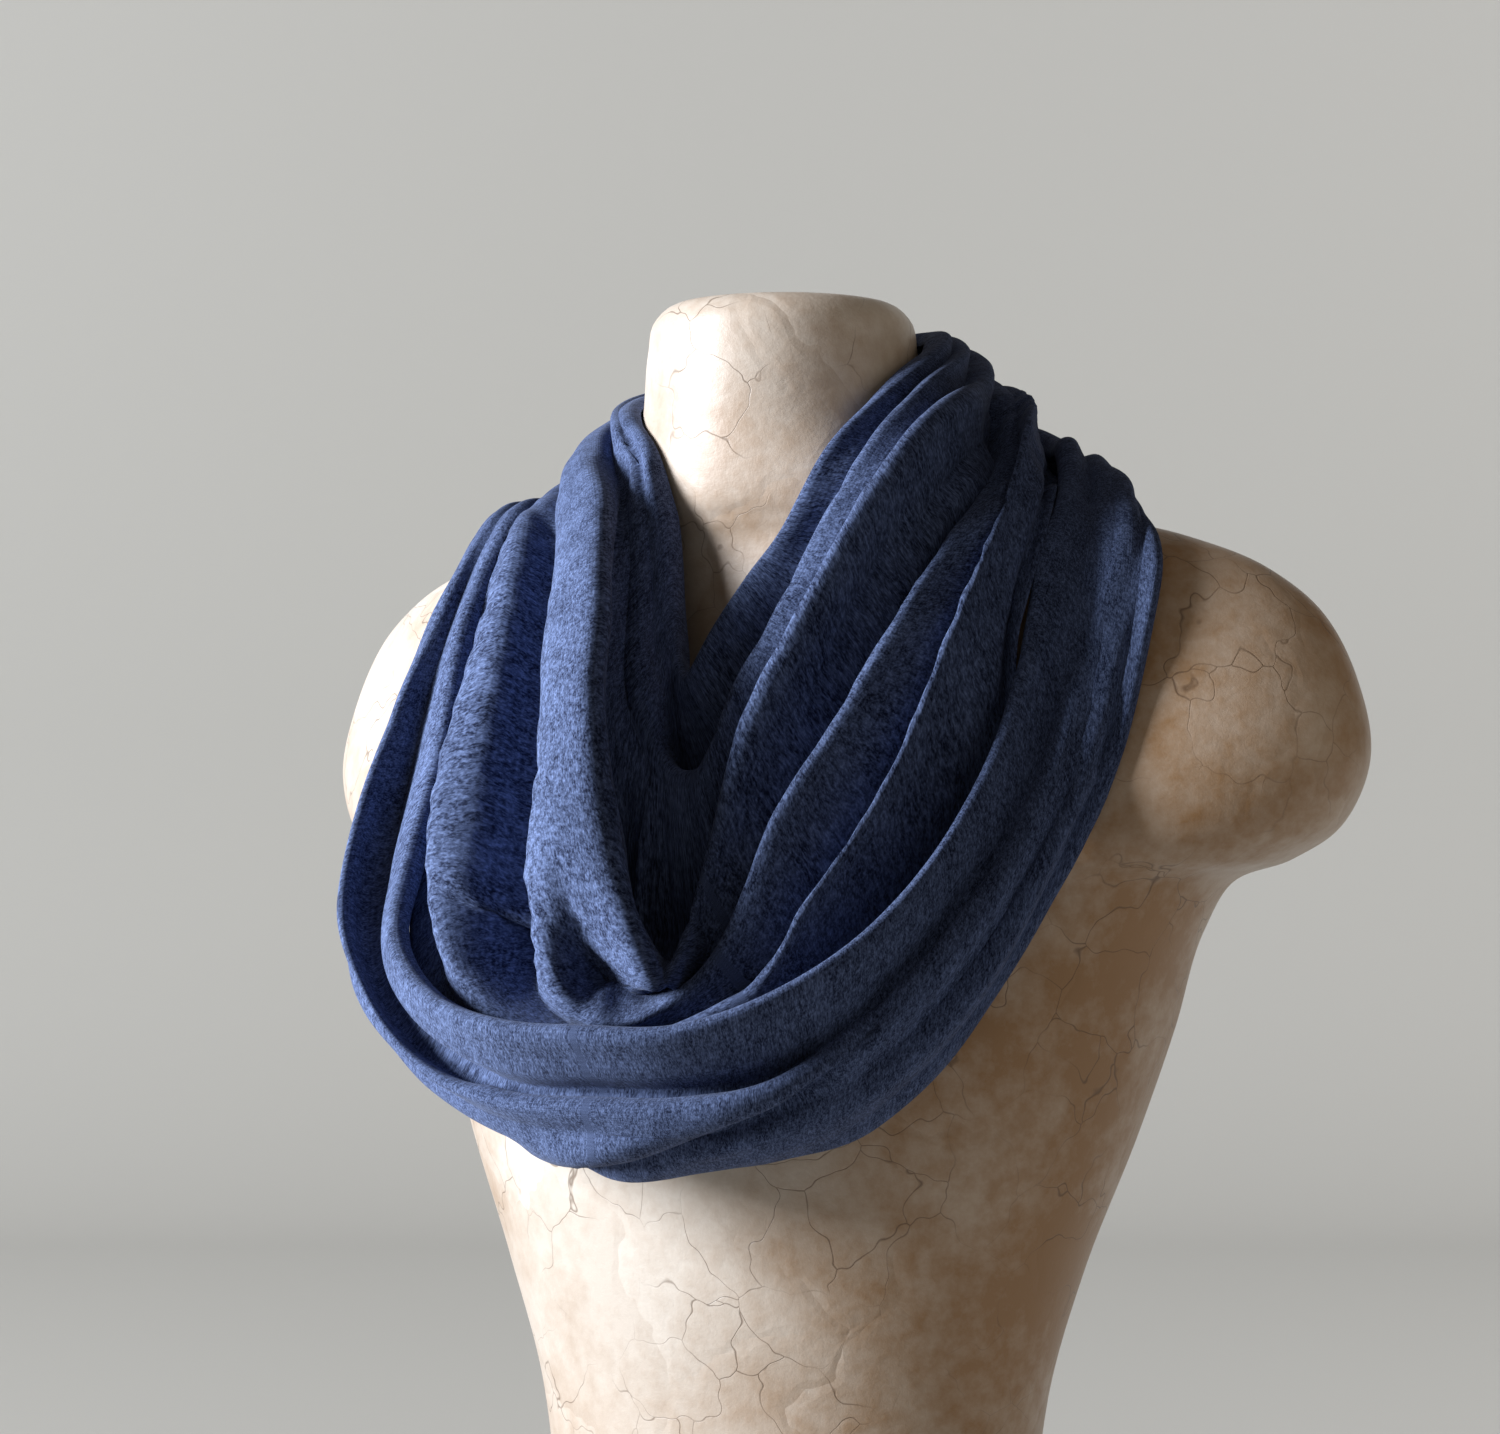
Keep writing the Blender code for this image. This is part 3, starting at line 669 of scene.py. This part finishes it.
# Limits between which each noise shows, and the share that it adds to the brown.
STAIN_LIMITS, STAIN_SHARE = (0.42, 0.70), 0.7
SPECK_LIMITS, SPECK_SHARE = (0.36, 0.76), 0.34
# Painted shade, partly stain: the paper browns towards the form's own left, the side turned away from
# the lights.
SHADED_SIDE_LIMITS, SHADED_SIDE_SHARE = (-0.02, 0.12), 0.85   # in metres, towards the form's own left
BROWN_LIMITS = (0.12, 1.3)      # of the sum: cream at the first and brown at the second
GAP_LIMITS = (0.42, 0.54)
CRACK_LIMITS = (0.0, 0.011)
PATCH_LIMITS = (0.0, 0.05)
PASTE_SHARE = 0.30
DIRT_SHARE = 0.75
# Heights of the relief as shares of its depth.
PATCH_RISE, SPECK_RISE, STAIN_RISE, CRACK_FALL = 0.3, 0.6, 0.9, 0.2
PAPER_DEPTH = 1.2 * MM
PAPER_BUMP = 0.5
PAPER_ROUGHNESS = 0.34
STAIN_ROUGHNESS = 0.2           # more where it is stained
PAPER_SHADER = {"Coat Weight": 0.25, "Coat Roughness": 0.3}

WALL_COLOUR = (0.56, 0.56, 0.55, 1)
WALL_ROUGHNESS = 0.95


def grain_noise(make, at, grain):
    """Noise of a grain on the cloth."""
    spread = make.stretched(at, (grain.along, grain.across, 1))
    return make.noise(spread, 1.0, grain.detail, grain.roughness)


def jersey(name):
    """Heathered jersey: light streaks across the fold, fine ribs of stitches along it."""
    make = Nodes(name)
    at = make.add("ShaderNodeUVMap", {"uv_map": "cloth"}).outputs[0]
    heather = 0.0
    for grain in HEATHER:
        shown = make.ramp(grain_noise(make, at, grain), grain.low, grain.high)
        heather = make.plus(heather, make.times(shown, grain.share))
    along, across, _ = make.add("ShaderNodeSeparateXYZ", Vector=at).outputs
    rib = make.math("SINE", make.times(across, 2 * math.pi / RIB))
    turn = make.times(along, 2 * math.pi / STITCH)
    stitch = make.math("SINE", make.plus(turn, make.times(rib, STITCH_SLANT)))
    knit = make.plus(make.times(rib, RIB_SHARE), make.times(stitch, 1 - RIB_SHARE))
    heather = make.plus(heather, make.times(knit, KNIT_SHADE))
    make.put(make.shader, "Base Color", make.mix(heather, DARK_YARN, PALE_YARN))
    relief = make.plus(make.times(knit, KNIT_RELIEF), grain_noise(make, at, NAP))
    make.finish(JERSEY_SHADER, relief, JERSEY_BUMP, JERSEY_DEPTH)
    return make.material


def varnished_paper():
    """Aged papier-mache: cream paper, brown stains, painted shade on the side away from the lights,
    pasted patches and fine cracks.
    """
    make = Nodes("varnished_paper")
    at = make.add("ShaderNodeTexCoord").outputs["Object"]
    warp = make.add("ShaderNodeTexNoise", Vector=at, Scale=BEND_SCALE, Detail=BEND_DETAIL)
    bent = make.add("ShaderNodeMix", {"data_type": "VECTOR"})
    make.put(bent, "0", BEND)
    make.put(bent, "4", at)
    make.put(bent, "5", warp.outputs[1])
    bent_at = bent.outputs[1]

    stain = make.noise(at, *STAIN_NOISE)
    speck = make.noise(at, *SPECK_NOISE)
    # Painted shade, partly stain: browner towards the form's own left, the side away from the lights.
    side = make.add("ShaderNodeSeparateXYZ", Vector=at).outputs[0]
    stain_and_shade = make.plus(make.times(make.ramp(stain, *STAIN_LIMITS), STAIN_SHARE),
                     make.times(make.ramp(side, *SHADED_SIDE_LIMITS), SHADED_SIDE_SHARE))
    stain_and_shade = make.plus(stain_and_shade, make.times(make.ramp(speck, *SPECK_LIMITS), SPECK_SHARE))
    paper = make.mix(make.ramp(stain_and_shade, *BROWN_LIMITS), CREAM, BROWN)

    patch = make.add("ShaderNodeTexVoronoi", {"feature": "F1"}, Vector=bent_at,
                     Scale=PATCH_SCALE)
    tint = make.add("ShaderNodeSeparateXYZ", Vector=patch.outputs["Color"]).outputs[0]
    pasted = make.mix(make.times(tint, PASTE_SHARE), paper, PASTE)

    crack = make.ramp(make.cell_edges(bent_at, CRACK_SCALE), *CRACK_LIMITS)
    gaps = make.ramp(make.noise(at, *GAP_NOISE), *GAP_LIMITS)
    line = make.times(make.math("SUBTRACT", 1.0, crack), gaps)
    make.put(make.shader, "Base Color", make.mix(make.times(line, DIRT_SHARE), pasted, DIRT))
    make.put(make.shader, "Roughness",
             make.plus(PAPER_ROUGHNESS, make.times(stain, STAIN_ROUGHNESS)))

    edges = make.ramp(make.cell_edges(bent_at, PATCH_SCALE), *PATCH_LIMITS)
    relief = make.plus(make.times(edges, PATCH_RISE), make.times(speck, SPECK_RISE))
    relief = make.math("SUBTRACT", relief, make.times(line, CRACK_FALL))
    relief = make.plus(relief, make.times(stain, STAIN_RISE))
    make.finish(PAPER_SHADER, relief, PAPER_BUMP, PAPER_DEPTH)
    return make.material


def wall_paint():
    """Plain pale backdrop."""
    make = Nodes("wall_paint")
    make.put(make.shader, "Base Color", WALL_COLOUR)
    make.put(make.shader, "Roughness", WALL_ROUGHNESS)
    return make.material


# The photo's viewpoint, level with the chest. Some of it was measured in the photo's pixels.
PHOTO_WIDTH = 1500        # in pixels
FOCAL_PIXELS = 3710
AXIS_PIXELS = 33          # from the photo's middle right to the axis of the neck
HORIZON_PIXELS = 133      # from the photo's middle down to the height of the camera
SENSOR = 36               # width of the sensor, in millimetres
DISTANCE = 1.4            # from the axis of the neck, in metres
CAMERA_HEIGHT = 0.4443
VIEW = math.radians(32)   # how far the camera is turned round the neck from the front
TOWARD = Vector((-math.sin(VIEW), math.cos(VIEW), 0))   # from the camera to the form
RIGHT = Vector((math.cos(VIEW), math.sin(VIEW), 0))

# The backdrop, in metres from the axis of the form along the camera's way of looking.
WALL_AWAY = 3.4
FLOOR_NEAR = -4.5
WALL_TOP = 3.2
SWEEP = 0.6               # radius of the bend between the floor and the wall
SWEEP_POINTS = 12
HALF_WALL = 5.0
BELOW = 0.001             # from the form's underside down to the floor

# Soft square lights. Each is placed to the right of the form as the camera sees it, nearer
# than the form and up, in metres, with the side of its square and its power in watts.
Light = namedtuple("Light", "right near up size power colour aim")
FORM_MIDDLE = Vector((0, 0, 0.45))
WALL_MIDDLE = TOWARD * WALL_AWAY + Vector((0, 0, 0.4))
WINDOW = Light(-1.30, 0.17, 0.62, 0.5, 51, (0.93, 0.97, 1.0), FORM_MIDDLE)
SKYLIGHT = Light(-2.0, 0.55, 1.15, 0.9, 108, (0.93, 0.95, 1.0), FORM_MIDDLE)
BOUNCE = Light(1.5, 1.1, 0.9, 1.2, 4.0, (1.0, 0.84, 0.64), FORM_MIDDLE)
WALL_LEFT = Light(-3.0, 0.0, 2.2, 1.6, 112, (0.985, 1.0, 1.0), WALL_MIDDLE)
WALL_RIGHT = Light(3.0, 0.0, 2.2, 1.6, 90, (1.0, 0.99, 0.97), WALL_MIDDLE)
ROOM_COLOUR = (1.0, 0.90, 0.78, 1)
ROOM_STRENGTH = 0.11


def add_camera():
    """Camera at the photo's place."""
    data = bpy.data.cameras.new("camera")
    data.sensor_width = SENSOR
    data.lens = FOCAL_PIXELS / PHOTO_WIDTH * SENSOR
    item = bpy.data.objects.new("camera", data)
    bpy.context.scene.collection.objects.link(item)
    item.location = -TOWARD * DISTANCE + Vector((0, 0, CAMERA_HEIGHT))
    tilt = math.atan(HORIZON_PIXELS / FOCAL_PIXELS)
    pan = math.atan(AXIS_PIXELS / FOCAL_PIXELS)
    item.rotation_euler = (math.pi / 2 + tilt, 0, VIEW + pan)
    bpy.context.scene.camera = item


def add_light(name, light, lit_pieces):
    """A soft square light that falls only on these pieces."""
    data = bpy.data.lights.new(name, "AREA")
    data.shape = "SQUARE"
    data.size = light.size
    data.energy = light.power
    data.color = light.colour
    item = bpy.data.objects.new(name, data)
    bpy.context.scene.collection.objects.link(item)
    item.location = RIGHT * light.right - TOWARD * light.near + Vector((0, 0, light.up))
    item.rotation_euler = (light.aim - item.location).to_track_quat("-Z", "Y").to_euler()
    item.visible_camera = False
    lit = bpy.data.collections.new(name + "_lit")
    for piece in lit_pieces:
        lit.objects.link(piece)
    item.light_linking.receiver_collection = lit


def add_backdrop(material):
    """Floor that sweeps up into a wall behind the form."""
    profile = [(FLOOR_NEAR, 0)]
    profile += [(WALL_AWAY - SWEEP + SWEEP * math.sin(turn), SWEEP - SWEEP * math.cos(turn))
                for turn in np.linspace(0, math.pi / 2, SWEEP_POINTS)]
    profile.append((WALL_AWAY, WALL_TOP))
    points = []
    for depth, height in profile:
        for side in (-HALF_WALL, HALF_WALL):
            points.append(tuple(TOWARD * depth + RIGHT * side + Vector((0, 0, height - BELOW))))
    faces = [(2 * index, 2 * index + 1, 2 * index + 3, 2 * index + 2)
             for index in range(len(profile) - 1)]
    item = add_mesh("backdrop", points, faces)
    item.data.materials.append(material)
    return item


def add_surroundings():
    """Dim even light and the way that brightness is shown."""
    scene = bpy.context.scene
    world = bpy.data.worlds.new("room")
    world.use_nodes = True
    background = world.node_tree.nodes["Background"]
    background.inputs["Color"].default_value = ROOM_COLOUR
    background.inputs["Strength"].default_value = ROOM_STRENGTH
    scene.world = world
    scene.view_settings.view_transform = "Standard"
    scene.view_settings.look = "None"
    scene.view_settings.exposure = 0


def main():
    """Builds the model, the backdrop, the lights and the camera."""
    form = add_form(varnished_paper())
    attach(form, "root")
    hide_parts("dress_form")

    surface = wind_surface(UPPER_WIND, UPPER_VALLEYS, UPPER_FOLDS, UPPER_SEED, NECKLINE_TURN)
    upper = add_cloth("upper_wind_cloth", surface, jersey("jersey_upper"))
    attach(upper, "root")
    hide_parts("upper_wind")

    surface = wind_surface(LOWER_WIND, LOWER_VALLEYS, LOWER_FOLDS, LOWER_SEED,
                           BAND_TURN, HEM_TURN)
    lower = add_cloth("lower_wind_cloth", surface, jersey("jersey_lower"))
    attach(lower, "root")
    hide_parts("lower_wind")

    backdrop = add_backdrop(wall_paint())
    add_surroundings()
    add_light("window", WINDOW, [upper, lower])
    add_light("skylight", SKYLIGHT, [form])
    add_light("bounce", BOUNCE, [form])
    add_light("wall_wash_left", WALL_LEFT, [backdrop])
    add_light("wall_wash_right", WALL_RIGHT, [backdrop])
    add_camera()


main()
